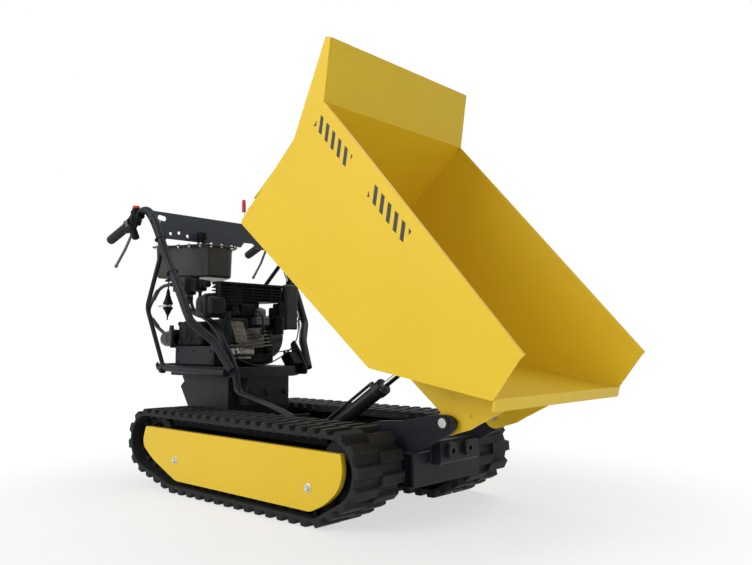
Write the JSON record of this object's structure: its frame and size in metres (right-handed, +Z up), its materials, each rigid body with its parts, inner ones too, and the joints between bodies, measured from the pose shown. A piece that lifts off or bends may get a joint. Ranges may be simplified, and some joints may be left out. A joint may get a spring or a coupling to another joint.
{
  "type": "tracked site dumper",
  "caption": "Walk-behind rubber-tracked site dumper with a hydraulically tipping steel skip, an engine on a rear deck and bent handlebars with clutch levers.",
  "frame": {"origin": "on the floor below the middle of the machine's overall box, with the skip tipped", "axes": "+X forwards, the side the skip empties to; +Y to the machine's left; +Z up"},
  "size_m": [1.7585, 0.681, 1.3052],
  "materials": {
    "yellow_paint": "gloss",
    "black_paint": "satin",
    "grey_paint": "satin",
    "track_rubber": "matte",
    "grip_rubber": "matte",
    "zinc_steel": "satin",
    "chromed_rod": "polished",
    "grey_casting": "as cast",
    "engine_alloy": "as cast",
    "black_plastic": "fine grain",
    "red_plastic": "gloss"
  },
  "bodies": {
    "chassis": {"track_belt_right": "track_rubber", "track_belt_left": "track_rubber", "drive_sprocket_right": "grey_casting", "drive_sprocket_left": "grey_casting", "front_idler_right": "grey_casting", "front_idler_left": "grey_casting", "track_rollers_right": "grey_casting", "track_rollers_left": "grey_casting", "track_frame_right": "black_paint", "track_frame_left": "black_paint", "track_cover_right": "yellow_paint", "track_cover_left": "yellow_paint", "tip_arm_right": "black_paint", "tip_arm_left": "black_paint", "handlebar_right": "black_paint", "handlebar_left": "black_paint", "chassis_frame": "black_paint", "front_plate": "black_paint", "pivot_pins": "zinc_steel", "final_drive": "grey_casting", "cylinder_mount": "black_paint", "engine_deck": "black_paint", "deck_pedestal": "black_paint", "guard_loop": "black_paint", "bar_brackets": "black_paint", "handlebar_struts": "black_paint", "handle_grips": "grip_rubber", "hand_levers": "zinc_steel", "control_panel": "black_paint", "tip_lever": "zinc_steel", "switch_box": "black_plastic", "red_knobs": "red_plastic", "oil_tank": "grey_paint", "valve_block": "engine_alloy", "hydraulic_pump": "engine_alloy", "pump_hose": "track_rubber", "tip_hoses": "track_rubber", "engine_block": "engine_alloy", "engine_cylinder": "engine_alloy", "engine_top_cover": "black_plastic", "recoil_cover": "grey_paint", "air_filter": "grey_casting", "muffler": "engine_alloy", "carburettor": "engine_alloy", "belt_guard": "grey_casting", "cable_box": "black_plastic"},
    "skip": {"skip_shell": "yellow_paint", "skip_brackets": "yellow_paint", "rod_lugs": "yellow_paint"},
    "cylinder_barrel": {"cylinder_barrel": "black_paint"},
    "cylinder_rod": {"cylinder_rod": "chromed_rod"}
  },
  "joints": [
    {"name": "skip_tip", "type": "hinge", "parent": "chassis", "child": "skip", "pos_m": [0.5316, 0, 0.2705], "axis": [0, 1, 0], "range_deg": [-38.8, 0]},
    {"name": "cylinder_swing", "type": "hinge", "parent": "chassis", "child": "cylinder_barrel", "pos_m": [-0.13, 0, 0.125], "axis": [0, 1, 0], "range_deg": [0, 11.4]},
    {"name": "rod_extend", "type": "slide", "parent": "cylinder_barrel", "child": "cylinder_rod", "axis": [0.8398, 0, 0.5429], "range_m": [-0.1275, 0]}
  ],
  "couplings": [
    {"joint": "cylinder_swing", "follows": "skip_tip", "ratio": -0.29142},
    {"joint": "rod_extend", "follows": "skip_tip", "m_per_rad": 0.18766}
  ]
}
